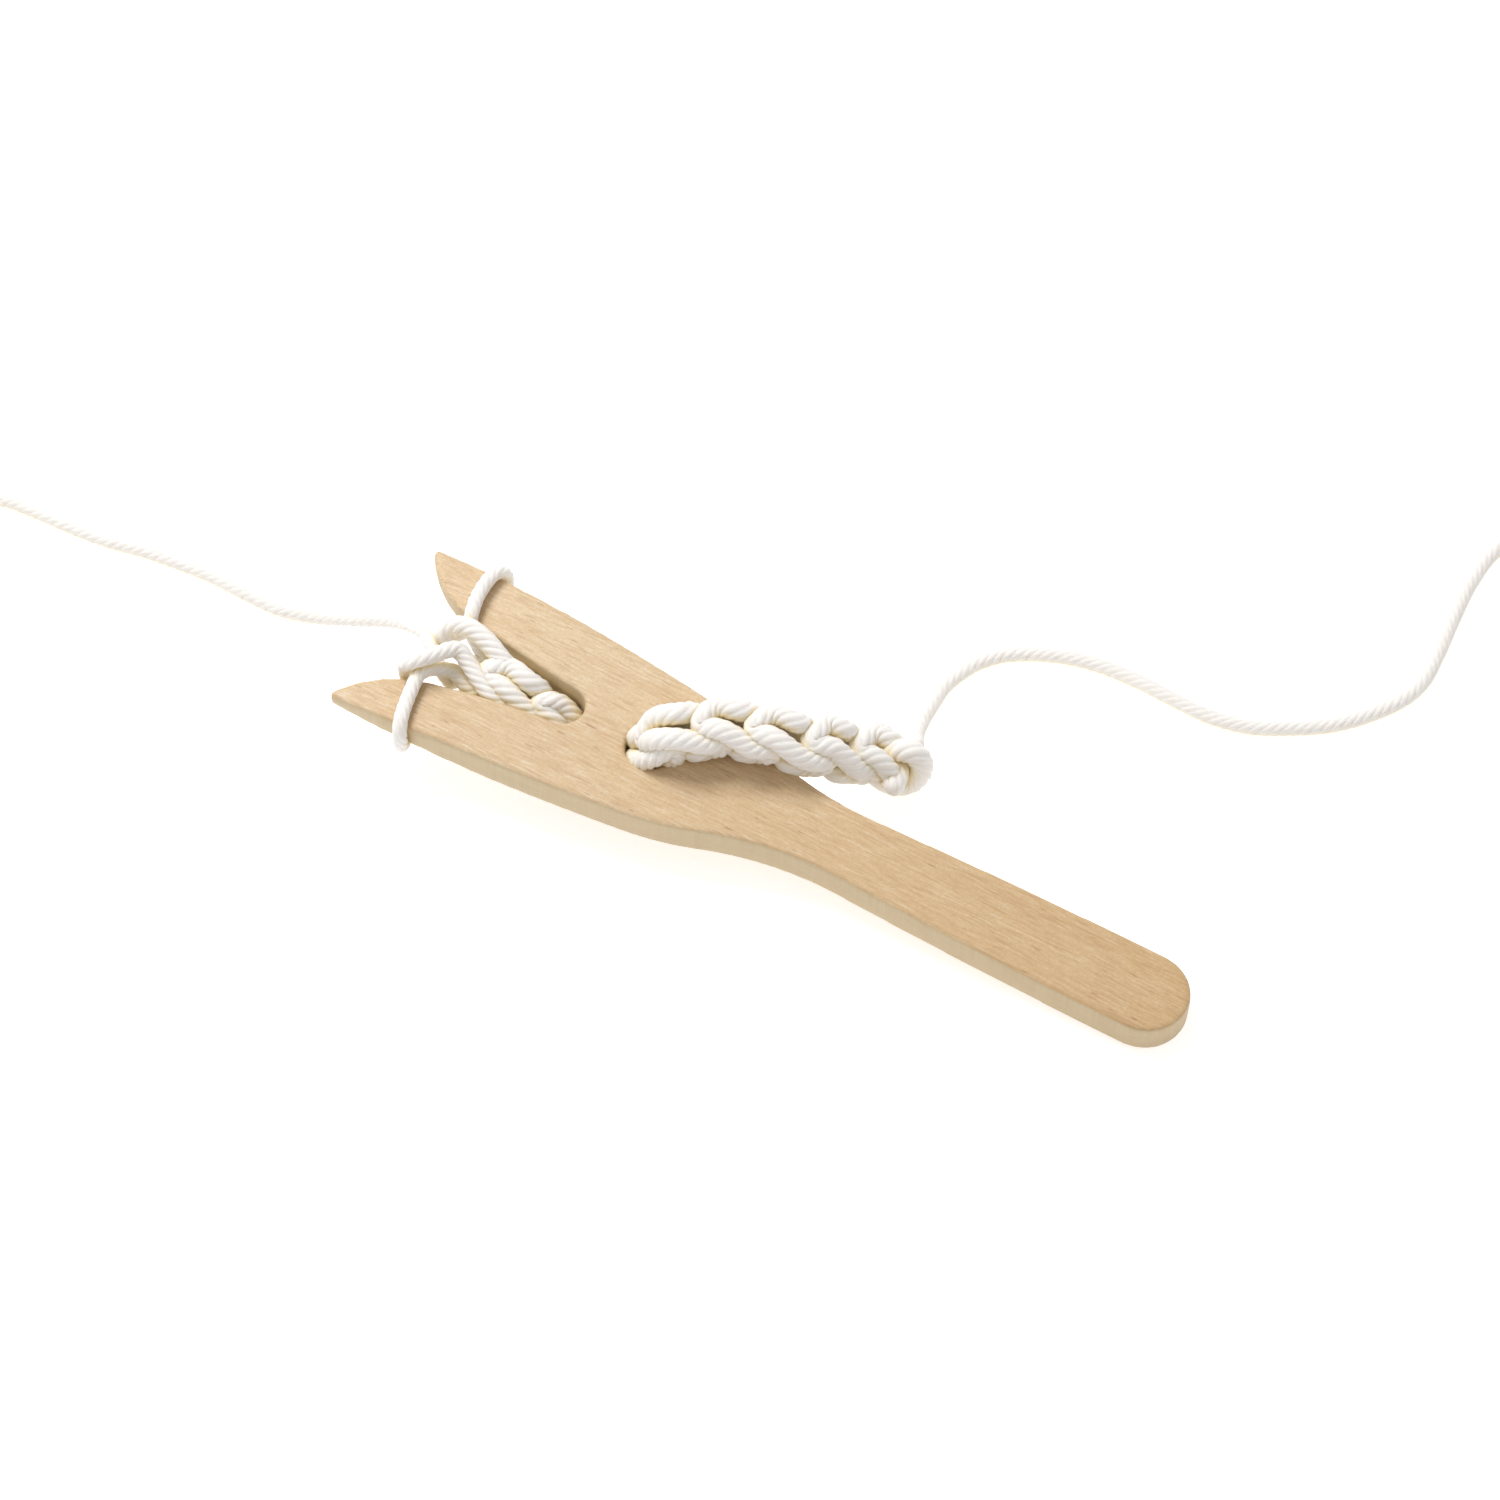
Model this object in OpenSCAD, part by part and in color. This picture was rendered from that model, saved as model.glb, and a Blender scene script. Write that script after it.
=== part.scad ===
// Lucet: a two-pronged wooden fork on which yarn is looped into square cord.
// It lies on a table with a cord in progress: yarn loops on both prongs, the
// cord running under the fork and up through its hole, and the working yarn.
// +X runs from the prong tips to the handle and +Z is up. The origin is on the
// table, below the middle of the fork. The handle's end rests on the table, and
// the cord under the fork lifts the prongs.

/* [Fork] */
// Length from the prong tips to the end of the handle
fork_length = 180; // [174:1:186]
// Thickness of the board that the fork is cut from
board_thickness = 7.5; // [6.5:0.5:8]
// Thickness left at the prong tips
tip_thickness = 3; // [2:0.5:5]
// Length over which the prongs thin towards their tips
tip_taper_length = 42; // [30:1:42]
// Angle by which the cord under the fork tips it up
lie_angle = 3.6; // [3.4:0.1:3.8]

/* [Slot and hole] */
// Radius of the round end of the slot between the prongs
slot_radius = 4.3; // [4:0.1:4.5]
// Distance from the prong tips to the centre of the slot's round end
slot_from_tips = 42.2; // [41.5:0.1:43]
// Angle of each side of the slot to the fork's axis, next to its round end
slot_side_angle = 5.5; // [4.5:0.5:6.5]
// Radius of the cord hole
hole_radius = 5; // [4.8:0.1:5.5]
// Distance from the prong tips to the centre of the cord hole
hole_from_tips = 62; // [61.5:0.1:62.5]

/* [Yarn] */
// Diameter of the cotton yarn
yarn_d = 3; // [2.5:0.1:3.2]
// Diameter of the round knot at the start of the cord
knot_d = 13; // [11:0.5:13.5]
// Diameter of the working yarn's coil, at the middle of its turns
coil_d = 36; // [32:1:38]
// Number of turns beside each other in the coil, and of layers
coil_turns = 5; // [4:1:5]

/* [Hidden] */
$fn = 64;

// The fork's outline on the +Y side, with the slot's centre at x = 0: a chain of
// arcs that starts on the axis at the slot's round end, goes out along the slot,
// round the prong tip and back along the outside to the handle's round end. Each
// is [length, angle turned to the left].
outline_start = [slot_radius, 0, 90];
slot_turn = 90 - slot_side_angle;
outline_arcs = [
    [arc_length(slot_radius, slot_turn), slot_turn],
    [27.5, -7],      // straight part of the slot's side
    [19, -44],       // flare towards the prong tip
    [1.95, -124.5],  // prong tip
    [64.5, -6.3],    // outside of the prong
    [15, -13.5],     // shoulder
    [29.5, 23.2],    // waist
    [fork_length - 117.3, -2.6]
];
handle_end = arcs_end(outline_start, outline_arcs);
cap_radius = handle_end[1] / cos(handle_end[2]);
cap_turn = -90 - handle_end[2];
cap_arc = [arc_length(cap_radius, cap_turn), cap_turn];
// The slot's centre sits here so that the handle's end is at fork_length
slot_x = fork_length - arc_end(handle_end, cap_arc)[0];
// Longest facet of an arc, and the largest angle between two facets
facet_length = 5;
facet_angle = 3;
taper_steps = 8;

// The fork's extent along X once it lies on the table, which sets the origin
low_x = fork_length * (1 - cos(lie_angle)) + (board_thickness - tip_thickness) / 2 * sin(lie_angle);
high_x = fork_length + board_thickness * sin(lie_angle);
mid_x = (low_x + high_x) / 2;

yarn_r = yarn_d / 2;
yarn_sides = 8;
cord_sides = 12;

// Routes of the two loops, as [along, across, up] in the fork's own frame: from
// the cord, over the prong, down its outside, back under it and up its inside
near_loop_route = [[16.5, -4, 7.4], [14.6, -8, 8.5], [15.2, -14, 8.3], [16.6, -19.4, 8.2], [17.4, -21.6, 6.2],
    [17.6, -21.9, 3.7], [17.2, -21.4, 1], [16.4, -19, -0.7], [14.6, -14, -0.7], [12, -9.6, -0.2],
    [11, -8, 2.4], [13, -5, 4]];
far_loop_route = [[17.2, 4.4, 7], [16, 7.4, 8.4], [14.6, 13, 8.3], [14.4, 18.5, 8.2], [15.2, 21.2, 6.6],
    [15.6, 22, 3.9], [15.5, 21.6, 1], [15.2, 19, -0.7], [14.8, 14, -0.7], [13.5, 9, -0.2],
    [12.8, 7, 1.8], [14.5, 4.5, 3.6]];

// Route of the cord's centre, as [x, y, z, half width, half height]: between the
// prongs, under the bridge, up through the hole and over the far shoulder
cord_route = [[-73.5, 0, 15.6, 3.6, 3.2], [-70, 0, 15, 4.6, 3.9], [-64, 0, 13.9, 4.7, 4], [-58, 0, 12.7, 4.6, 4],
    [-53, 0, 11, 4.4, 4], [-49.6, 0, 8.6, 4.1, 3.9], [-46.8, 0, 5.8, 4.1, 3.9], [-43, 0, 4.1, 4.3, 3.8],
    [-38, 0, 3.9, 4.3, 3.8], [-33.5, 0, 4.4, 4.2, 3.8], [-30, 0, 7, 4.1, 4], [-28.2, 0, 11.2, 4.4, 4.3],
    [-26.8, 0.5, 15.5, 4.7, 4.4], [-23.5, 2, 19.2, 5.3, 4.8], [-18, 6, 20, 5.5, 5], [-12, 9, 19.8, 5.5, 5],
    [-6, 11, 19.2, 5.5, 5], [-0.5, 13.2, 17.3, 5.5, 5], [3.5, 16.5, 14.4, 5.5, 5], [8, 20, 11, 5.5, 5],
    [12, 22.5, 8.2, 5.4, 5], [14.5, 23.8, 6.8, 5.2, 4.8]];
knot_centre = [13.8, 23.2, 7.2];

// Routes of the two loose ends of yarn, where they leave the cord and the knot
tail_route = [[15.5, 30, 5.4], [13.5, 33.5, 3.5], [12.3, 38, 1.9], [12, 43, 1.5], [12.1, 48, 1.5], [13.5, 52.5, 1.5],
    [15.5, 56.5, 1.5], [20, 61, 1.5], [28, 65, 1.5], [36.5, 67, 1.5], [45, 67.3, 1.5], [53.5, 66.7, 1.5],
    [62, 66.3, 1.5], [70, 67.7, 1.5], [77, 71, 1.5], [84, 75.5, 1.5], [89.5, 81, 1.5], [94, 87.5, 1.5],
    [96, 94, 1.5], [95.7, 102, 1.5], [94.8, 111, 1.5], [94.2, 121, 1.5], [95.5, 131, 1.5], [101.5, 139, 1.5],
    [111, 143.5, 1.5], [121, 144, 1.5]];
working_route = [[-70, -4.4, 12], [-72.5, -4.2, 13.2], [-75, -3, 15.1], [-77.2, -1.2, 16], [-79.4, 0.6, 15.7],
    [-81.8, 2.3, 14.7], [-84.2, 3.5, 13.2], [-87.5, 4.6, 11], [-92.5, 5.4, 8], [-101, 4, 4.6],
    [-109, 2.4, 2.2], [-117, 0.8, 1.5], [-125.5, 0.8, 1.5], [-134, 1.2, 1.5],
    [-142.5, 0.8, 1.5], [-150.5, 0, 1.5], [-158.5, -1.4, 1.5], [-166.5, -2, 1.5], [-175, -2.2, 1.5],
    [-183.5, -2.8, 1.5], [-189.5, -5.5, 1.5], [-193, -10.5, 1.5], [-194, -16, 1.5]];
coil_centre = [-218, -18, 0];
coil_bundle = coil_turns * yarn_d;
coil_round = 1.5;

function arc_length(radius, turn) = radius * abs(turn) * PI / 180;

// The pose [x, y, heading] at the end of one arc that starts at pose p
function arc_end(p, arc) =
    let (r = arc[0] / (arc[1] * PI / 180), h = p[2], t = arc[1])
    [p[0] + r * (sin(h + t) - sin(h)), p[1] + r * (cos(h) - cos(h + t)), h + t];

function arcs_end(p, arcs, i = 0) = i == len(arcs) ? p : arcs_end(arc_end(p, arcs[i]), arcs, i + 1);

function arc_steps(arc) = ceil(max(abs(arc[1]) / facet_angle, arc[0] / facet_length));

function arc_points(p, arc) =
    [for (i = [1:arc_steps(arc)]) let (e = arc_end(p, arc * i / arc_steps(arc))) [e[0], e[1]]];

function arcs_points(p, arcs, i = 0) =
    i == len(arcs) ? [] : concat(arc_points(p, arcs[i]), arcs_points(arc_end(p, arcs[i]), arcs, i + 1));

module plan() {
    side = concat([[outline_start[0], 0]], arcs_points(outline_start, concat(outline_arcs, [cap_arc])));
    other_side = [for (i = [len(side) - 2:-1:1]) [side[i][0], -side[i][1]]];
    difference() {
        translate([slot_x, 0]) polygon(concat(side, other_side));
        translate([hole_from_tips, 0]) circle(hole_radius);
    }
}

// How much thinner the board is, on each face, at a distance s from the tips
function thinning(s) = (board_thickness - tip_thickness) / 2 * pow(1 - s / tip_taper_length, 2);

// The board seen from the side, thinned towards the prong tips
module side_profile() {
    margin = 1;
    taper = [for (i = [0:taper_steps]) tip_taper_length * i / taper_steps];
    top = [for (s = taper) [s, board_thickness - thinning(s)]];
    bottom = [for (i = [taper_steps:-1:0]) [taper[i], thinning(taper[i])]];
    polygon(concat([[-margin, thinning(0)], [-margin, board_thickness - thinning(0)]], top,
        [[fork_length + margin, board_thickness], [fork_length + margin, 0]], bottom));
}

// Puts a shape from the fork's own frame in place on the table
module lying() {
    translate([fork_length - mid_x, 0, 0])
        rotate([0, lie_angle, 0])
            translate([-fork_length, 0, 0])
                children();
}

function unit(v) = v / norm(v);

function along(route, i) =
    unit(xyz(route[min(i + 1, len(route) - 1)]) - xyz(route[max(i - 1, 0)]));

function xyz(p) = [p[0], p[1], p[2]];

// A ring of points round the centre c, square to dir, of half width a and half
// height b; across is the direction that the width is square to
function ring(c, dir, across, a, b, sides) =
    let (side = unit(cross(across, dir)), up = cross(dir, side))
    [for (k = [0:sides - 1]) c + a * cos(360 * k / sides) * side + b * sin(360 * k / sides) * up];

// A tube along a route; a point with five numbers gives its own half width and height
module tube(route, sides, across) {
    last = len(route) - 1;
    points = [for (i = [0:last]) let (p = route[i])
        each ring(xyz(p), along(route, i), across, len(p) > 3 ? p[3] : yarn_r, len(p) > 3 ? p[4] : yarn_r, sides)];
    walls = [for (i = [0:last - 1], k = [0:sides - 1])
        let (a = i * sides + k, b = i * sides + (k + 1) % sides)
        each [[a, a + sides, b], [b, a + sides, b + sides]]];
    start = [for (k = [0:sides - 1]) k];
    end = [for (k = [sides - 1:-1:0]) last * sides + k];
    polyhedron(points = points, faces = concat([start], walls, [end]), convexity = 6);
}

module fork() {
    color("BurlyWood")
        lying()
            intersection() {
                linear_extrude(board_thickness) plan();
                translate([0, board_thickness * 4, 0]) rotate([90, 0, 0])
                    linear_extrude(board_thickness * 8) side_profile();
            }
}

module near_prong_loop() {
    color("Ivory") lying() tube(near_loop_route, yarn_sides, [1, 0, 0]);
}

module far_prong_loop() {
    color("Ivory") lying() tube(far_loop_route, yarn_sides, [1, 0, 0]);
}

module lucet_cord() {
    color("Ivory") tube(cord_route, cord_sides, [0, 0, 1]);
}

module start_knot() {
    color("Ivory") translate(knot_centre) sphere(d = knot_d);
}

module tail_yarn() {
    color("Ivory") tube(tail_route, yarn_sides, [0, 0, 1]);
}

module working_yarn() {
    color("Ivory") tube(working_route, yarn_sides, [0, 0, 1]);
}

// The outer shape of the coil that the rest of the working yarn is wound into
module yarn_coil() {
    inner = coil_d / 2 - coil_bundle / 2;
    color("Ivory")
        translate(coil_centre)
            rotate_extrude()
                translate([inner + coil_round, coil_round])
                    offset(r = coil_round)
                        square(coil_bundle - 2 * coil_round);
}

fork();
near_prong_loop();
far_prong_loop();
lucet_cord();
start_knot();
tail_yarn();
working_yarn();
yarn_coil();
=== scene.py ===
"""A lucet fork with a cord in progress: the wooden board, the looped cotton cord and its yarn."""
import math

import bpy
import numpy as np
from mathutils import Matrix, Vector


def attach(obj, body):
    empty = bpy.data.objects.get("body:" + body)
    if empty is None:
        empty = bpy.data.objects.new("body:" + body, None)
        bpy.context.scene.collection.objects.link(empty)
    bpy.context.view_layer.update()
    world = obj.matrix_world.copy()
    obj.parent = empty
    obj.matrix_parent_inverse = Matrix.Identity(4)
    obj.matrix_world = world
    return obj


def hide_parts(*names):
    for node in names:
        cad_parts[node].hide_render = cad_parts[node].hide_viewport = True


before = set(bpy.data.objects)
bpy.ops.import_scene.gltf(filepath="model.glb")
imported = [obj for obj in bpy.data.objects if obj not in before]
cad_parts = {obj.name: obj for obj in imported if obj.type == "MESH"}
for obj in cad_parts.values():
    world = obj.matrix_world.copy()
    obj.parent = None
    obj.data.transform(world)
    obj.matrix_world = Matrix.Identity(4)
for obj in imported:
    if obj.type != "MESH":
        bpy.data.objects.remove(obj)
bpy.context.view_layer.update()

MM = 0.001
BODY = "root"

# The fork's own frame: lengths along it count from the prong tips, heights from its underside
FORK_LENGTH = 180 * MM
BOARD = 7.5 * MM
TIP_THICKNESS = 3 * MM
LIE_ANGLE = math.radians(3.6)
# Half way between the ends of the fork as it lies, where the shared frame has its origin
MID_X = (FORK_LENGTH * (2 - math.cos(LIE_ANGLE)) + (BOARD - TIP_THICKNESS) / 2 * math.sin(LIE_ANGLE)
         + BOARD * math.sin(LIE_ANGLE)) / 2

YARN_R = 1.5 * MM


def lying(points):
    """Points given in the fork's own frame, in mm, placed as the fork lies on the table."""
    p = np.asarray(points, float) * MM - [FORK_LENGTH, 0, 0]
    c, s = math.cos(LIE_ANGLE), math.sin(LIE_ANGLE)
    x = p[:, 0] * c + p[:, 2] * s + FORK_LENGTH - MID_X
    return np.c_[x, p[:, 1], p[:, 2] * c - p[:, 0] * s]


# ---------------------------------------------------------------- camera and light

CAMERA_PLACE = (260.6, -404.2, 746.8)    # mm
CAMERA_TARGET = (-15.5, 16.9, 0)         # mm
CAMERA_ROLL = math.radians(-4.26)
FOCAL_LENGTH = 108                       # mm
SENSOR_WIDTH = 36                        # mm

SKY_STRENGTH = 0.64
KEY_PLACE = (-0.5, 0.2, 0.8)             # m
KEY_SIZE = 0.45                          # m
KEY_ENERGY = 7.3                         # W
FLOOR_HALF_SIDE = 3.0                    # m
FLOOR_GLOW = 0.55                        # lifts the floor to an even white


def make_camera():
    """A long lens that looks down at the fork from its near side, over the handle."""
    target = Vector(CAMERA_TARGET) * MM
    position = Vector(CAMERA_PLACE) * MM
    forward = (target - position).normalized()
    level = forward.cross(Vector((0, 0, 1))).normalized()
    upright = level.cross(forward)
    right = level * math.cos(CAMERA_ROLL) + upright * math.sin(CAMERA_ROLL)
    up = right.cross(forward)
    data = bpy.data.cameras.new("camera")
    data.lens = FOCAL_LENGTH
    data.sensor_width = SENSOR_WIDTH
    data.clip_start = 0.05
    data.clip_end = 20
    camera = bpy.data.objects.new("camera", data)
    bpy.context.collection.objects.link(camera)
    axes = Matrix((right, up, -forward)).transposed().to_4x4()
    camera.matrix_world = Matrix.Translation(position) @ axes
    bpy.context.scene.camera = camera


def make_light():
    """White light from all round, and one soft lamp at the back on the left."""
    world = bpy.data.worlds.new("studio")
    bpy.context.scene.world = world
    world.use_nodes = True
    sky = world.node_tree.nodes["Background"]
    sky.inputs["Color"].default_value = (1, 1, 1, 1)
    sky.inputs["Strength"].default_value = SKY_STRENGTH
    data = bpy.data.lights.new("key", "AREA")
    data.shape = "DISK"
    data.size = KEY_SIZE
    data.energy = KEY_ENERGY
    key = bpy.data.objects.new("key", data)
    bpy.context.collection.objects.link(key)
    key.location = KEY_PLACE
    key.rotation_euler = (-Vector(KEY_PLACE)).to_track_quat("-Z", "Y").to_euler()
    bpy.context.scene.view_settings.view_transform = "Standard"


def make_floor():
    mesh = bpy.data.meshes.new("floor")
    side = FLOOR_HALF_SIDE
    corners = [(-side, -side, 0), (side, -side, 0), (side, side, 0), (-side, side, 0)]
    mesh.from_pydata(corners, [], [(0, 1, 2, 3)])
    floor = bpy.data.objects.new("floor", mesh)
    bpy.context.collection.objects.link(floor)
    mat = bpy.data.materials.new("floor")
    mat.use_nodes = True
    shader = mat.node_tree.nodes["Principled BSDF"]
    shader.inputs["Base Color"].default_value = (0.8, 0.8, 0.8, 1)
    shader.inputs["Roughness"].default_value = 0.9
    shader.inputs["Emission Color"].default_value = (1, 1, 1, 1)
    shader.inputs["Emission Strength"].default_value = FLOOR_GLOW
    mesh.materials.append(mat)


# ---------------------------------------------------------------- paths

SPLINE_CUTS = 24    # short straight lines between two points, before they are made even


def distances(path):
    """How far along the path each of its points is."""
    return np.r_[0, np.cumsum(np.linalg.norm(np.diff(path, axis=0), axis=1))]


def spline(points, step):
    """A smooth curve through the points, cut into equal steps."""
    p = np.asarray(points, float)
    p = np.vstack([2 * p[0] - p[1], p, 2 * p[-1] - p[-2]])
    out = []
    for a, b, c, d in zip(p, p[1:], p[2:], p[3:]):
        t = np.linspace(0, 1, SPLINE_CUTS, endpoint=False)[:, None]
        out.append(0.5 * (2 * b + (c - a) * t + (2 * a - 5 * b + 4 * c - d) * t ** 2
                          + (3 * b - a - 3 * c + d) * t ** 3))
    dense = np.vstack(out + [p[-2:-1]])
    return even(dense, step)


def even(path, step):
    """The same path with points an equal distance apart, close to step. Later columns follow."""
    at = distances(path[:, :3])
    count = max(2, int(round(at[-1] / step)) + 1)
    s = np.linspace(0, at[-1], count)
    return np.c_[[np.interp(s, at, column) for column in path.T]].T


def unit(v):
    return v / np.linalg.norm(v, axis=-1, keepdims=True)


def directions(path):
    return unit(np.gradient(path, axis=0))


def carried_frames(path):
    """Two directions square to the path at every point, carried along it without twisting."""
    d = directions(path)
    first = np.cross(d[0], [0.0, 0.0, 1.0])
    if np.linalg.norm(first) < 0.1:
        first = np.cross(d[0], [1.0, 0.0, 0.0])
    side = [first / np.linalg.norm(first)]
    for k in range(1, len(path)):
        v = side[-1] - d[k] * side[-1].dot(d[k])
        side.append(v / np.linalg.norm(v))
    side = np.array(side)
    return side, np.cross(d, side)


# ---------------------------------------------------------------- yarn

PLIES = 6
PLY_PITCH = 12 * MM      # length in which a ply goes once round the yarn
PLY_RELIEF = 0.85        # soft cotton fills part of the grooves between its plies
PLY_RING = 0.5           # how far a ply's centre is from the yarn's, in radii
AROUND = 42              # points round a strand
AROUND_LONG = 36         # points round the two longest strands
END_LENGTH = 0.8         # length of the rounding at each end, in radii
END_FLAT = 0.04          # the middle of an end that stays flat, as a share of its area


def ply_outline(count):
    """The yarn's outline for a radius of 1: six plies round a centre, as distance at each angle."""
    angle = (np.arange(count) / count * PLIES) % 1 - 0.5
    half = angle * 2 * math.pi / PLIES
    outline = PLY_RING * np.cos(half) + np.sqrt(PLY_RING ** 2 - (PLY_RING * np.sin(half)) ** 2)
    return 1 - PLY_RELIEF * (1 - outline)


def yarn_mesh(name, path, radius=YARN_R, around=AROUND):
    """Twisted yarn along a path, with rounded ends. Radius is a number, or one for each point."""
    n = len(path)
    side, up = carried_frames(path)
    at = distances(path)
    r = np.broadcast_to(np.asarray(radius, float), (n,)).copy()
    taper = np.minimum(1, np.minimum(at, at[-1] - at) / (END_LENGTH * r))
    r *= np.sqrt(np.clip(1 - (1 - taper) ** 2, END_FLAT, 1))
    angles = np.arange(around) / around * 2 * math.pi
    a = angles[None, :] - at[:, None] / PLY_PITCH * 2 * math.pi
    out = np.cos(a)[..., None] * side[:, None] + np.sin(a)[..., None] * up[:, None]
    rings = path[:, None] + (r[:, None] * ply_outline(around)[None, :])[..., None] * out
    verts = np.vstack([rings.reshape(-1, 3), path[:1], path[-1:]])

    i, k = np.meshgrid(np.arange(n - 1), np.arange(around), indexing="ij")
    k2 = (k + 1) % around
    corners = [i * around + k, i * around + k2, (i + 1) * around + k2, (i + 1) * around + k]
    quads = np.stack(corners, -1).reshape(-1, 4)
    here = np.arange(around)
    after = (here + 1) % around
    last_ring = (n - 1) * around
    start_cap = np.stack([after, here, np.full(around, n * around)], -1)
    end_cap = np.stack([last_ring + here, last_ring + after, np.full(around, n * around + 1)], -1)

    u = np.stack([k, k + 1, k + 1, k], -1) / around
    v = np.stack([at[i], at[i], at[i + 1], at[i + 1]], -1) / PLY_PITCH
    cap_uvs = np.zeros((2 * 3 * around, 2))
    uvs = np.vstack([np.stack([u, v], -1).reshape(-1, 2), cap_uvs])
    return mesh_object(name, verts, [quads, start_cap, end_cap], uvs)


def mesh_object(name, verts, face_groups, uvs):
    """A smooth object. Each group of faces has one number of corners."""
    mesh = bpy.data.meshes.new(name)
    counts = np.concatenate([np.full(len(f), f.shape[1]) for f in face_groups])
    loops = np.concatenate([f.ravel() for f in face_groups])
    mesh.vertices.add(len(verts))
    mesh.vertices.foreach_set("co", verts.astype(np.float32).ravel())
    mesh.loops.add(len(loops))
    mesh.loops.foreach_set("vertex_index", loops.astype(np.int32))
    mesh.polygons.add(len(counts))
    mesh.polygons.foreach_set("loop_start", np.r_[0, np.cumsum(counts)[:-1]].astype(np.int32))
    mesh.polygons.foreach_set("loop_total", counts.astype(np.int32))
    mesh.polygons.foreach_set("use_smooth", np.ones(len(counts), bool))
    mesh.update(calc_edges=True)
    layer = mesh.uv_layers.new(name="ply")
    layer.data.foreach_set("uv", uvs.astype(np.float32).ravel())
    mesh.validate()
    obj = bpy.data.objects.new(name, mesh)
    bpy.context.collection.objects.link(obj)
    return obj


# ---------------------------------------------------------------- lucet cord

STITCH_PITCH = 10.4 * MM    # length of cord that one stitch on each side takes up
STITCH_YARN = 32 * MM       # yarn in one stitch
CORD_YARN_D = 3.3 * MM      # the yarn, a little fuller where it isn't pulled tight
STITCH_POINTS = 40
NEIGHBOURS = range(-4, 5)   # the stitches that one stitch can touch

# The stitch before it settles: how far it reaches along the cord, and its distance from the middle
FIRST_REACH = 6 * MM
FIRST_RADIUS = 3.2 * MM
FIRST_WAVE = 1.4 * MM
FIRST_SWING = 0.4

# How it settles: the yarn's thickness, its length for the final length of 1, and rounds of moves
SETTLING = ((1.5 * MM, 1.05, 250), (2.6 * MM, 1.02, 300), (CORD_YARN_D, 1.0, 800))
SMOOTHING = 0.15
STRETCHING = 0.25
PUSHING = 0.25
MOVE_SHARE = 0.6
ONE_STRETCH = 1.6           # yarn within this many thicknesses along it may be close


def next_stitch(points, k):
    """The stitch k places on: each one sits half a turn round the cord from the last."""
    sign = -1 if k % 2 else 1
    return points * [1, sign, sign] + [k * STITCH_PITCH / 2, 0, 0]


def first_stitch():
    """A knitted loop wrapped round the cord, which the stitch starts from."""
    t = np.arange(STITCH_POINTS) / STITCH_POINTS * 2 * math.pi
    turn = t / 2 + FIRST_SWING * np.sin(2 * t)
    r = FIRST_RADIUS - FIRST_WAVE * np.cos(2 * t)
    along = STITCH_PITCH * t / (4 * math.pi) + FIRST_REACH * np.cos(t)
    return np.c_[along, r * np.cos(turn), r * np.sin(turn)]


def relaxed_stitch():
    """One stitch of a lucet cord along +X, pulled tight until its yarn touches its neighbours.

    It settles under three rules: the yarn keeps its length, it bends as little as it can, and no
    two stretches of it come closer than a diameter."""
    n = STITCH_POINTS
    p = first_stitch()
    here = np.arange(n)
    there = np.concatenate([here + k * n for k in NEIGHBOURS])
    apart = np.abs(here[:, None] - there[None, :]) / n
    for thickness, slack, rounds in SETTLING:
        link = STITCH_YARN * slack / n
        distinct = apart * STITCH_YARN > ONE_STRETCH * thickness
        for _ in range(rounds):
            chain = np.concatenate([next_stitch(p, -1), p, next_stitch(p, 1)])
            far = (chain[n - 2:2 * n - 2] + chain[n + 2:2 * n + 2]) / 2
            near = (chain[n - 1:2 * n - 1] + chain[n + 1:2 * n + 1]) / 2
            move = SMOOTHING * ((4 * near - far) / 3 - p)
            for neighbour in (chain[n + 1:2 * n + 1], chain[n - 1:2 * n - 1]):
                gap = neighbour - p
                size = np.linalg.norm(gap, axis=1, keepdims=True)
                move += STRETCHING * (size - link) / size * gap
            others = np.concatenate([next_stitch(p, k) for k in NEIGHBOURS])
            gap = p[:, None] - others[None]
            size = np.linalg.norm(gap, axis=2)
            overlap = np.where(distinct, np.clip(thickness - size, 0, None), 0)
            push = (overlap / np.maximum(size, 1e-9))[..., None] * gap * PUSHING
            touching = (overlap > 0).sum(1, keepdims=True)
            move += push.sum(1) / np.maximum(np.sqrt(touching), 1)
            p = p + MOVE_SHARE * move
    return p


def lay_cord(stitch, route, plan, first, last):
    """Stitches first..last of the cord, laid along a route.

    The plan's rows are as described at CORD_PLAN. The yarn between its first and last row is kept."""
    yarn = np.concatenate([next_stitch(stitch, k) for k in range(first, last)])
    free = np.abs(stitch[:, 1:]).max()
    at = distances(route)
    place, used, half_width, half_height, roll = np.array(plan, float).T
    used = used * MM
    place = place * MM
    x = np.interp(yarn[:, 0], used, place)
    start = np.nonzero(yarn[:, 0] < used[0])[0][-1] + 1
    stop = np.nonzero(yarn[:, 0] > used[-1])[0][0]
    turn = np.radians(np.interp(x, place, roll))
    across = (yarn[:, 1] * np.cos(turn) - yarn[:, 2] * np.sin(turn)) / free
    above = (yarn[:, 1] * np.sin(turn) + yarn[:, 2] * np.cos(turn)) / free
    across *= np.interp(x, place, half_width) * MM
    above *= np.interp(x, place, half_height) * MM

    def along(values):
        return np.c_[[np.interp(x, at, values[:, k]) for k in range(3)]].T

    d = directions(route)
    level = unit(np.cross([0.0, 0.0, 1.0], d))
    upright = np.cross(d, level)
    laid = along(route) + along(level) * across[:, None] + along(upright) * above[:, None]
    return laid[start:stop]


# ---------------------------------------------------------------- materials

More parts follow.
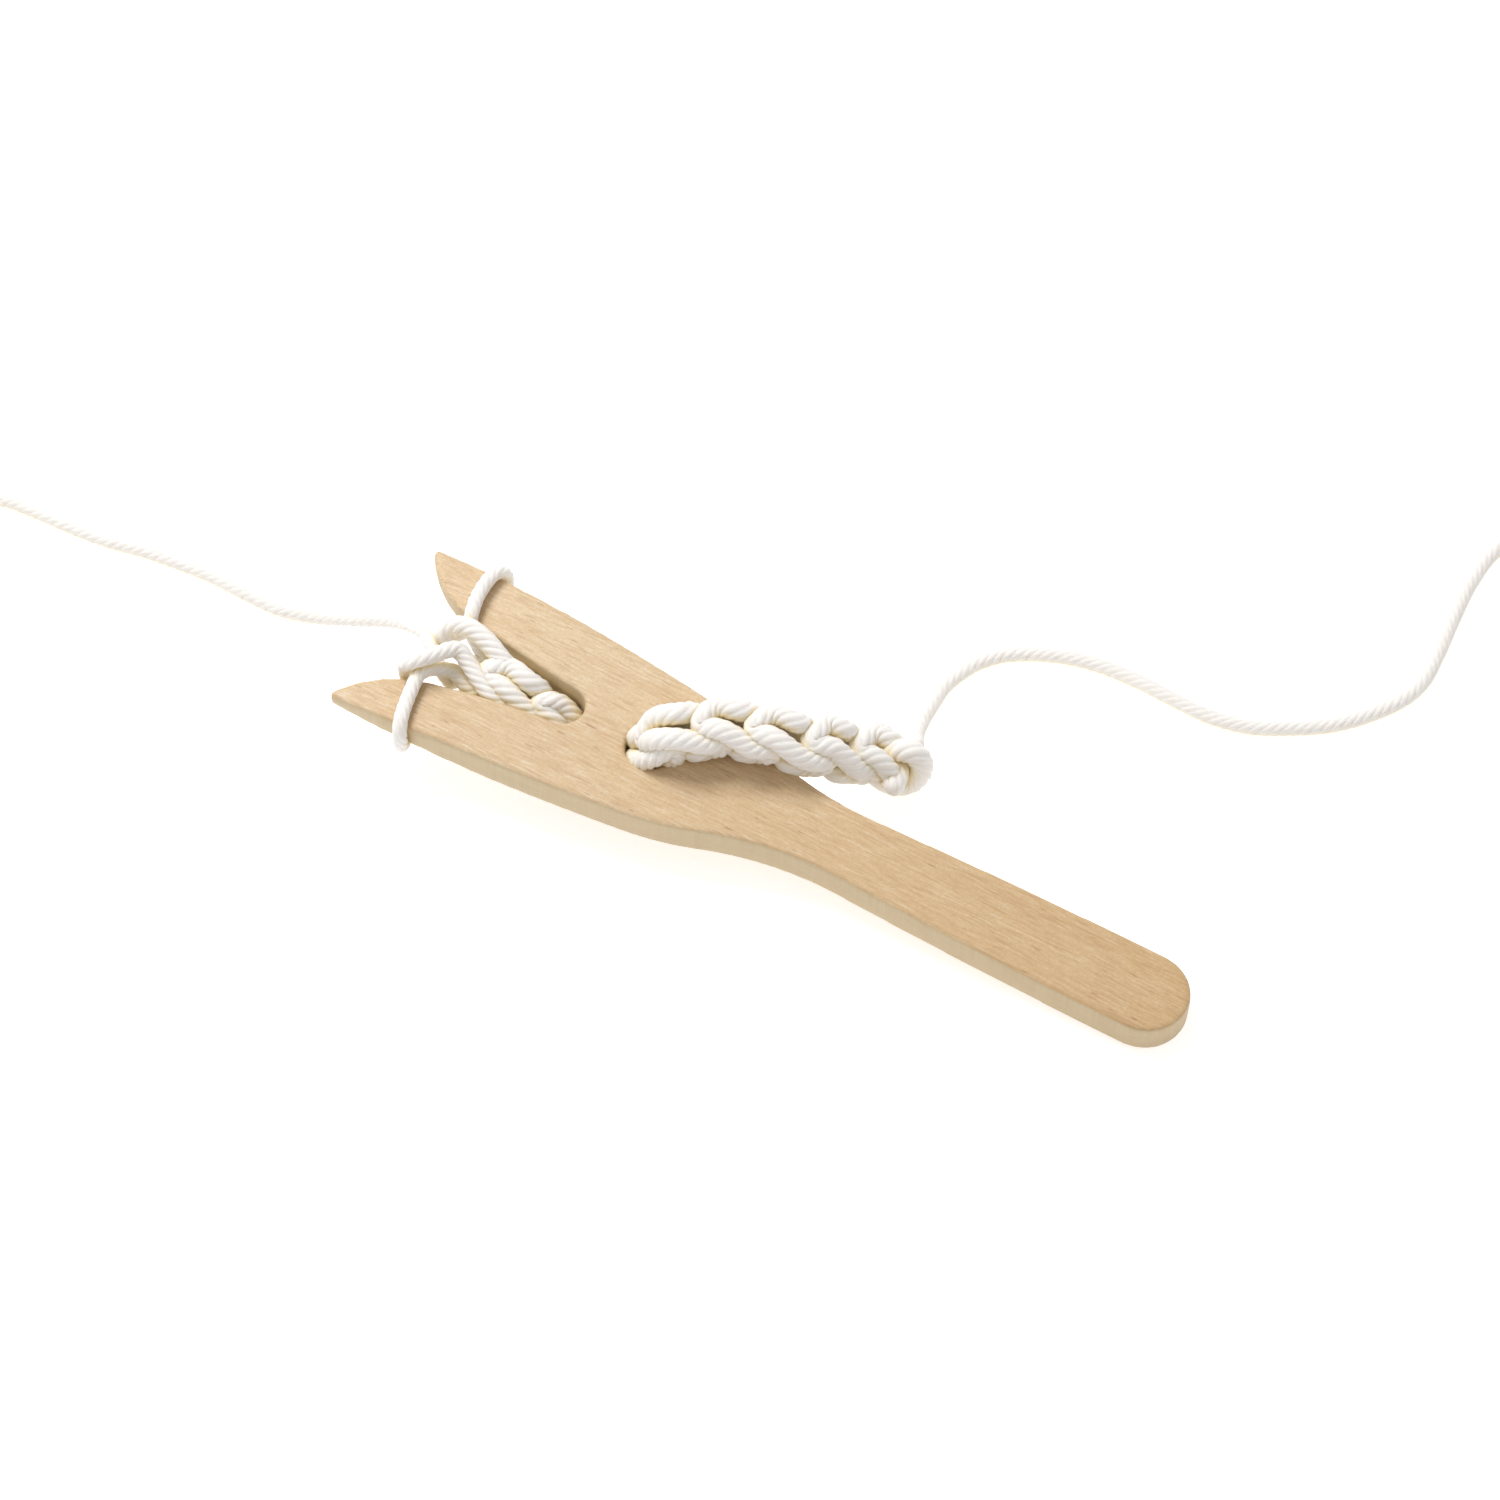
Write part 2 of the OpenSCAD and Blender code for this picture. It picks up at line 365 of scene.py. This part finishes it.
class Nodes:
    """A material's node tree, with short calls for the nodes that are used most."""

    def __init__(self, name):
        self.material = bpy.data.materials.new(name)
        self.material.use_nodes = True
        self.tree = self.material.node_tree
        self.shader = self.tree.nodes["Principled BSDF"]

    def link(self, source, socket):
        self.tree.links.new(source, socket)

    def add(self, kind, inputs=None, **settings):
        node = self.tree.nodes.new(kind)
        for key, value in settings.items():
            setattr(node, key, value)
        for key, value in (inputs or {}).items():
            if isinstance(value, bpy.types.NodeSocket):
                self.link(value, node.inputs[key])
            else:
                node.inputs[key].default_value = value
        return node

    def math(self, operation, a, b=0.0):
        return self.add("ShaderNodeMath", {0: a, 1: b}, operation=operation).outputs[0]

    def noise(self, vector, scale, detail=3.0, roughness=0.5):
        inputs = {"Vector": vector, "Scale": scale, "Detail": detail, "Roughness": roughness}
        return self.add("ShaderNodeTexNoise", inputs).outputs["Fac"]

    def stretched(self, vector, scale, rotation=(0, 0, 0)):
        inputs = {"Vector": vector, "Scale": scale, "Rotation": rotation}
        return self.add("ShaderNodeMapping", inputs).outputs[0]

    def parts(self, vector):
        return self.add("ShaderNodeSeparateXYZ", {0: vector}).outputs

    def ranged(self, value, low, high, to_low=0.0, to_high=1.0):
        inputs = {"Value": value, "From Min": low, "From Max": high, "To Min": to_low, "To Max": to_high}
        return self.add("ShaderNodeMapRange", inputs).outputs[0]

    def mix(self, share, a, b, blend="MIX"):
        node = self.tree.nodes.new("ShaderNodeMix")
        node.data_type = "RGBA"
        node.blend_type = blend
        for socket, value in ((node.inputs[0], share), (node.inputs[6], a), (node.inputs[7], b)):
            if isinstance(value, bpy.types.NodeSocket):
                self.link(value, socket)
            else:
                socket.default_value = value
        return node.outputs[2]


FALLOFF_FROM, FALLOFF_TO = -50 * MM, 85 * MM      # along the board: from here the handle is painted browner, shade that adds to the lamp's falloff
STREAK_FROM, STREAK_TO = 35 * MM, 75 * MM   # along the board: where the brown streak fades in
STREAK_SLOPE = 0.045
STREAK_AT = -12.8 * MM
STREAK_HALF = 2.2 * MM


def wood_material():
    """Pale straight-grained maple, sanded and left bare. Noises and colours go from broad to fine."""
    n = Nodes("maple")
    here = n.add("ShaderNodeTexCoord").outputs["Object"]
    board = n.stretched(here, (1, 1, 1), (0, -LIE_ANGLE, 0))
    place = n.parts(board)
    along_board, across_board = place["X"], place["Y"]
    upward = n.parts(n.add("ShaderNodeNewGeometry").outputs["Normal"])["Z"]
    on_side = n.ranged(upward, 0.75, 0.35)

    def grain(along, across, detail=3.0, roughness=0.6):
        """Noise drawn out along the board: its scales are in waves per metre."""
        return n.noise(n.stretched(board, (along, across, across)), 1.0, detail, roughness)

    wander = grain(9, 30, 2.0, 0.5)
    figure = grain(7, 210, 3.0, 0.55)
    fibre = grain(200, 2300)
    strand = grain(28, 900)
    fleck = grain(230, 1900, 1.0, 0.5)
    saw = grain(1500, 60, 2.0)
    mottle = n.noise(board, 1700.0, 2.0, 0.7)

    colour = n.mix(n.ranged(figure, 0.32, 0.68), (0.585, 0.425, 0.25, 1), (0.65, 0.505, 0.325, 1))
    colour = n.mix(n.ranged(wander, 0.42, 0.64, 0, 0.4), colour, (0.592, 0.411, 0.24, 1))
    colour = n.mix(n.ranged(strand, 0.5, 0.72, 0, 0.35), colour, (0.50, 0.342, 0.199, 1))
    colour = n.mix(n.ranged(fibre, 0.52, 0.72, 0, 0.65), colour, (0.43, 0.285, 0.165, 1))
    colour = n.mix(n.ranged(fibre, 0.47, 0.3, 0, 0.7), colour, (0.70, 0.60, 0.455, 1))
    colour = n.mix(n.ranged(mottle, 0.35, 0.65, 0.35, 0), colour, (0.46, 0.31, 0.175, 1))
    colour = n.mix(n.ranged(fleck, 0.725, 0.76, 0, 0.55), colour, (0.27, 0.15, 0.075, 1))
    # Painted shade: the handle is browner and darker towards its end, adding to the falloff of the
    # lamp's light
    falloff_shade = n.mix(n.ranged(along_board, FALLOFF_FROM, FALLOFF_TO), (1, 1, 1, 1), (0.93, 0.845, 0.71, 1))
    colour = n.mix(1.0, colour, falloff_shade, "MULTIPLY")
    # A brown streak in the grain beside the handle's near edge
    streak_line = n.math("ADD", n.math("MULTIPLY", along_board, STREAK_SLOPE), STREAK_AT)
    off_streak = n.math("ABSOLUTE", n.math("SUBTRACT", across_board, streak_line))
    on_handle = n.ranged(along_board, STREAK_FROM, STREAK_TO)
    streak = n.math("MULTIPLY", n.ranged(off_streak, STREAK_HALF, 0.0), on_handle)
    streak = n.math("MULTIPLY", streak, n.ranged(strand, 0.42, 0.62, 0.1, 0.75))
    colour = n.mix(streak, colour, (0.37, 0.22, 0.10, 1))
    # The sawn edge is paler and shows the saw's marks across it
    edge = n.mix(n.ranged(saw, 0.35, 0.65), (0.525, 0.42, 0.26, 1), (0.56, 0.46, 0.30, 1))
    edge = n.mix(n.ranged(figure, 0.4, 0.62, 0, 0.5), edge, (0.585, 0.455, 0.28, 1))
    colour = n.mix(n.math("MULTIPLY", on_side, 0.8), colour, edge)
    n.link(colour, n.shader.inputs["Base Color"])

    n.link(n.ranged(fibre, 0.3, 0.7, 0.5, 0.66), n.shader.inputs["Roughness"])
    n.shader.inputs["Specular IOR Level"].default_value = 0.35
    height = n.math("ADD", n.math("MULTIPLY", fibre, 0.6), n.math("MULTIPLY", mottle, 0.4))
    saw_marks = n.math("MULTIPLY", n.math("MULTIPLY", saw, on_side), 0.8)
    height = n.math("ADD", height, saw_marks)
    bump = n.add("ShaderNodeBump", {"Height": height, "Strength": 0.35, "Distance": 0.12 * MM})
    n.link(bump.outputs[0], n.shader.inputs["Normal"])
    return n.material


FIBRE_LEAN = 0.8    # turns that the fibres make back round the yarn for each turn of the plies
PLY_SHADE_HALF = 0.12    # half width of the painted shade line along the middle of each ply, as a share of the ply


def yarn_material():
    """White mercerised cotton: fine fibres along the yarn across its plies, with a soft gloss."""
    n = Nodes("cotton")
    ply = n.parts(n.add("ShaderNodeUVMap", uv_map="ply").outputs[0])
    turns, pitches = ply["X"], ply["Y"]
    # The plies turn one way and the fibres in them the other, so the fibres lie along the yarn
    angle = n.math("SUBTRACT", turns, n.math("MULTIPLY", pitches, FIBRE_LEAN))
    angle = n.math("MULTIPLY", angle, 2 * math.pi)
    helix = {0: n.math("COSINE", angle), 1: n.math("SINE", angle), 2: n.math("MULTIPLY", pitches, 0.7)}
    wrapped = n.add("ShaderNodeCombineXYZ", helix).outputs[0]
    fibre = n.noise(wrapped, 17.0, 4.0, 0.65)
    lint = n.noise(wrapped, 5.0, 2.0, 0.5)
    here = n.add("ShaderNodeTexCoord").outputs["Object"]
    fuzz = n.noise(here, 2600.0, 2.0, 0.6)
    colour = n.mix(n.ranged(fibre, 0.3, 0.7), (0.86, 0.82, 0.785, 1), (0.96, 0.935, 0.915, 1))
    colour = n.mix(n.ranged(lint, 0.35, 0.65, 0.2, 0), colour, (0.82, 0.765, 0.70, 1))
    # Painted shade: a slightly darker, creamy line along the middle of each ply
    in_ply = n.math("FRACT", n.math("MULTIPLY", turns, PLIES))
    off_middle = n.math("ABSOLUTE", n.math("SUBTRACT", in_ply, 0.5))
    colour = n.mix(n.ranged(off_middle, PLY_SHADE_HALF, 0.0, 0, 0.3), colour, (0.74, 0.66, 0.54, 1))
    # Painted shade: deep between the strands, where little light reaches, the white is painted creamy,
    # standing in for warm shade from light that has passed through the cotton
    shelter = n.add("ShaderNodeAmbientOcclusion", {"Distance": 3.5 * MM}, samples=6).outputs["AO"]
    colour = n.mix(n.ranged(shelter, 0.9, 0.3), colour, (0.95, 0.81, 0.53, 1))
    n.link(colour, n.shader.inputs["Base Color"])
    n.shader.inputs["Roughness"].default_value = 0.62
    n.shader.inputs["Specular IOR Level"].default_value = 0.4
    n.shader.inputs["Subsurface Weight"].default_value = 0.35
    n.shader.inputs["Subsurface Radius"].default_value = (1.0, 0.9, 0.8)
    n.shader.inputs["Subsurface Scale"].default_value = 1.2 * MM
    n.shader.inputs["Sheen Weight"].default_value = 0.25
    n.shader.inputs["Sheen Roughness"].default_value = 0.5
    height = n.math("ADD", n.math("MULTIPLY", fibre, 0.75), n.math("MULTIPLY", fuzz, 0.25))
    bump = n.add("ShaderNodeBump", {"Height": height, "Strength": 0.7, "Distance": 0.35 * MM})
    n.link(bump.outputs[0], n.shader.inputs["Normal"])
    return n.material


# ---------------------------------------------------------------- the pieces

VOXEL = 0.36 * MM
SANDING_SHARE = 0.5
SANDING_ROUNDS = 26


def fork_wood():
    """The fork, cut as in the CAD part, with every edge sanded round.

    It is turned level first, so that its flat faces lie along the voxels and stay flat."""
    lean = Matrix.Rotation(LIE_ANGLE, 4, "Y")
    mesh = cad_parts["fork"].data.copy()
    mesh.transform(lean.inverted())
    obj = bpy.data.objects.new("fork_wood", mesh)
    bpy.context.collection.objects.link(obj)
    remesh = obj.modifiers.new("remesh", "REMESH")
    remesh.mode = "VOXEL"
    remesh.voxel_size = VOXEL
    remesh.use_smooth_shade = True
    sanded = obj.modifiers.new("sanded", "SMOOTH")
    sanded.factor = SANDING_SHARE
    sanded.iterations = SANDING_ROUNDS
    bpy.context.view_layer.update()
    graph = bpy.context.evaluated_depsgraph_get()
    obj.data = bpy.data.meshes.new_from_object(obj.evaluated_get(graph))
    obj.modifiers.clear()
    obj.data.transform(lean)
    obj.data.materials.clear()
    return obj


# The route of the cord's centre, in mm, from between the prongs to the start knot
CORD_ROUTE = [
    [-73.5, 0, 15.6], [-70, 0, 15], [-64, 0, 13.9], [-58, 0, 12.7], [-53, 0, 11], [-49.6, 0, 8.6],
    [-46.8, 0, 5.8], [-43, 0, 4.2], [-38, 0, 4.1], [-33.5, 0, 4.5], [-30, 0, 7], [-28.2, 0, 11.2],
    [-26.8, 0.5, 15.5], [-23.5, 2, 19.2], [-18, 6, 20], [-12, 9, 19.8], [-6, 11, 19.2],
    [-0.5, 13.2, 17.3], [3.5, 16.5, 14.4], [8, 20, 11], [12, 22.5, 8.2], [14.5, 23.8, 6.8]]
# How the stitches lie along the route. Each row is a distance along it, the length of cord used
# up there, half the cord's width and height between its strands' middles, in mm, and its roll in
# degrees. The cord is pressed flat under the fork and stretched between the prongs
CORD_PLAN = [
    [3, 4.5, 3.4, 3.2, 108], [12, 12.5, 3.2, 3.1, 108], [20, 19.5, 2.8, 3, 108],
    [26, 25, 2.7, 2.6, 108], [32, 32, 3.3, 1.6, 108], [42, 44, 3.3, 1.6, 108],
    [47, 50, 3, 2.4, 106], [54, 58.3, 3.4, 3.2, 105], [60, 64.3, 3.6, 3.5, 105],
    [109, 113.3, 3.8, 3.7, 105]]
CORD_STITCHES = (-6, 26)
CORD_STRAND_R = 2.25 * MM    # more than half the strands' spacing: soft yarn, pressed together

# The loops on the prongs, in the fork's own frame, as [along, across, up, yarn radius] in mm: each
# starts in the cord, goes over its prong and back under it, and ends in the newest stitch
FAR_LOOP = [
    [28, 0.8, 3.6, 1.7], [24.5, 2.4, 3.9, 1.8], [21.5, 4, 4, 1.8], [19, 5.3, 4.2, 1.7],
    [17, 6.4, 5.4, 1.5], [16, 7.6, 7.6, 1.5], [15.2, 10, 8.35, 1.5], [14.4, 13.6, 8.35, 1.5],
    [14.3, 18.2, 8.3, 1.5], [15, 20.8, 7.3, 1.5], [15.6, 22, 4.4, 1.5], [15.5, 21.6, 1.2, 1.5],
    [15.2, 18.8, -0.6, 1.5], [14.8, 14, -0.75, 1.5], [14, 10, -0.5, 1.5], [13, 7.4, 0.8, 1.6],
    [12.6, 5, 2.4, 1.7], [12.8, 2.9, 4.2, 1.8], [12.8, 2.4, 6.8, 1.9], [14.2, 3.8, 9.3, 2],
    [17.9, 4.6, 10, 2], [22, 4, 9.2, 2.1], [25.8, 2.8, 8, 2], [28.9, 2, 6.6, 1.9],
    [31.5, 1, 4.6, 1.8]]
NEAR_LOOP = [
    [28, -3, 3.4, 1.8], [24.5, -4.2, 3.6, 1.8], [21.8, -4, 4, 1.8], [19, -3.2, 5, 1.7],
    [17.2, -4, 5.9, 1.6], [15.2, -6.4, 7.7, 1.5], [14.2, -9, 8.35, 1.5], [14.6, -12, 8.2, 1.5],
    [15.5, -16, 8.15, 1.5], [16.5, -19.3, 8, 1.5], [17.3, -21.3, 6.6, 1.5], [17.6, -21.7, 4.2, 1.5],
    [17.4, -21.3, 1.6, 1.5], [16.6, -19.3, -0.4, 1.5], [15.2, -15.5, -0.75, 1.5],
    [13.2, -12, -0.7, 1.5], [11.4, -9.7, 0.2, 1.5], [10.6, -8.2, 2.6, 1.5], [10.4, -8.1, 5.5, 1.5],
    [10.8, -8.6, 8.3, 1.5], [12, -8.7, 10.4, 1.5], [13.8, -7.2, 11.3, 1.6], [15.6, -4.8, 11.1, 1.6],
    [17, -2.2, 10.4, 1.7], [18.4, -0.8, 9.5, 1.8], [21.2, -1.6, 8, 1.8], [24.6, -3.2, 6.8, 1.8],
    [28.4, -4.6, 5.4, 1.8], [32, -4.2, 3.6, 1.7]]

# The strand's two free ends, in mm
TAIL_ROUTE = [
    [15.5, 30, 5.4], [13.5, 33.5, 3.5], [12.3, 38, 1.9], [12, 43, 1.5], [12.1, 48, 1.5],
    [13.5, 52.5, 1.5], [15.5, 56.5, 1.5], [20, 61, 1.5], [28, 65, 1.5], [36.5, 67, 1.5],
    [45, 67.3, 1.5], [53.5, 66.7, 1.5], [62, 66.3, 1.5], [70, 67.7, 1.5], [77, 71, 1.5],
    [84, 75.5, 1.5], [89.5, 81, 1.5], [94, 87.5, 1.5], [96, 94, 1.5], [95.7, 102, 1.5],
    [94.8, 111, 1.5], [94.2, 121, 1.5], [95.5, 131, 1.5], [101.5, 139, 1.5], [111, 143.5, 1.5],
    [121, 144, 1.5]]
WORKING_ROUTE = [
    [-70, -4.4, 12], [-72.5, -4.2, 13.2], [-75, -3, 15.1], [-77.2, -1.2, 16], [-79.4, 0.6, 15.7],
    [-81.8, 2.3, 14.7], [-84.2, 3.5, 13.2], [-87.5, 4.6, 11], [-92.5, 5.4, 8], [-101, 4, 4.6],
    [-109, 2.4, 2.2], [-117, 0.8, 1.5], [-125.5, 0.8, 1.5], [-134, 1.2, 1.5], [-142.5, 0.8, 1.5],
    [-150.5, 0, 1.5], [-158.5, -1.4, 1.5], [-166.5, -2, 1.5], [-175, -2.2, 1.5],
    [-183.5, -2.8, 1.5], [-189.5, -5.5, 1.5], [-193, -10.5, 1.5], [-194, -16, 1.5]]

# The working yarn's coil, in mm
COIL_CENTRE = [-218, -18]
COIL_RADIUS = 18
COIL_TURNS = 5          # beside each other, and in layers
COIL_STEPS = 40         # points in a turn

# The start knot, in mm
KNOT_CENTRE = [12.9, 21.7, 8]
KNOT_SCALE = 2.4
KNOT_STRAND_R = 2.4 * MM
KNOT_FACES = [0.35, -0.4, 0.85]     # the way the trefoil's open side points
KNOT_HALF_TURN = 150    # degrees each way round the trefoil, which leaves it open at its ends
KNOT_STEP = 4

# Distance between the points of each kind of strand
FINE_STEP = 0.45 * MM
CORD_STEP = 0.5 * MM
TAIL_STEP = 0.8 * MM
COIL_STEP = 1.15 * MM


def loop_yarn(name, points):
    """A strand of yarn whose points are given in the fork's own frame, each with its radius."""
    p = np.array(points)
    path = spline(np.c_[lying(p[:, :3]), p[:, 3] * MM], FINE_STEP)
    return yarn_mesh(name, path[:, :3], radius=path[:, 3])


def lucet_cord():
    """The cord's one strand, stitch after stitch, and the strand's path."""
    stitch = relaxed_stitch()
    newest_first = (stitch * [-1, -1, 1])[::-1]
    route = spline(np.array(CORD_ROUTE) * MM, CORD_STEP)
    path = spline(lay_cord(newest_first, route, CORD_PLAN, *CORD_STITCHES), CORD_STEP)
    return yarn_mesh("cord_braid", path, radius=CORD_STRAND_R, around=AROUND_LONG), path


def knot_path():
    """The overhand knot that the cord starts from, as an open trefoil."""
    t = np.radians(np.arange(-KNOT_HALF_TURN, KNOT_HALF_TURN + 1, KNOT_STEP))
    across, along = np.sin(t) + 2 * np.sin(2 * t), np.cos(t) - 2 * np.cos(2 * t)
    trefoil = np.c_[across, along, -1.5 * np.sin(3 * t)]
    facing = unit(np.array(KNOT_FACES))
    level = unit(np.cross([0, 1, 0], facing))
    turned = trefoil @ np.array([level, np.cross(facing, level), facing])
    return turned * KNOT_SCALE + KNOT_CENTRE


def coil_path():
    """The rest of the working yarn: turns beside each other, in layers that are wound up and down."""
    pitch = YARN_R * 2 / MM
    last = COIL_TURNS - 1
    points = []
    for k in range(COIL_TURNS * COIL_TURNS * COIL_STEPS + 1):
        turn = k / COIL_STEPS
        layer = min(int(turn / COIL_TURNS), last)
        place = turn - layer * COIL_TURNS
        row = np.clip(place - 0.5, 0, last)
        if layer % 2:
            row = last - row
        # A layer's last half turn climbs half way to the next, whose first half turn does the rest
        rise = np.clip((place - (COIL_TURNS - 0.5)) / 0.5, 0, 1) / 2 if layer < last else 0
        fall = np.clip((0.5 - place) / 0.5, 0, 1) / 2 if layer else 0
        height = (layer + rise - fall) * pitch + YARN_R / MM
        radius = COIL_RADIUS + last / 2 * pitch - row * pitch
        angle = 2 * math.pi * turn
        x = COIL_CENTRE[0] + radius * math.cos(angle)
        y = COIL_CENTRE[1] - radius * math.sin(angle)
        points.append([x, y, height])
    return np.array(points)


# ---------------------------------------------------------------- the object

def dress(obj, material, slot, *nodes):
    """Gives a piece its material, hangs it on the body and hides the CAD nodes that it stands for. The
    slot is not used.
    """
    obj.data.materials.append(material)
    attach(obj, BODY)
    if nodes:
        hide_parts(*nodes)


make_camera()
make_light()
make_floor()

wood = wood_material()
cotton = yarn_material()

dress(fork_wood(), wood, "fork_wood", "fork")

braid, braid_path = lucet_cord()
dress(braid, cotton, "cotton_yarn", "lucet_cord")
far_loop = loop_yarn("far_loop_yarn", FAR_LOOP)
dress(far_loop, cotton, "cotton_yarn", "far_prong_loop")
near_loop = loop_yarn("near_loop_yarn", NEAR_LOOP)
dress(near_loop, cotton, "cotton_yarn", "near_prong_loop")
knot = yarn_mesh("knot_yarn", spline(knot_path() * MM, FINE_STEP), radius=KNOT_STRAND_R)
dress(knot, cotton, "cotton_yarn", "start_knot")

tail_path = spline(np.array(TAIL_ROUTE) * MM, TAIL_STEP)
tail = yarn_mesh("tail_end", tail_path)
dress(tail, cotton, "cotton_yarn", "tail_yarn")

working_path = spline(np.vstack([WORKING_ROUTE, coil_path()]) * MM, COIL_STEP)
working = yarn_mesh("working_end", working_path, around=AROUND_LONG)
dress(working, cotton, "cotton_yarn", "working_yarn", "yarn_coil")
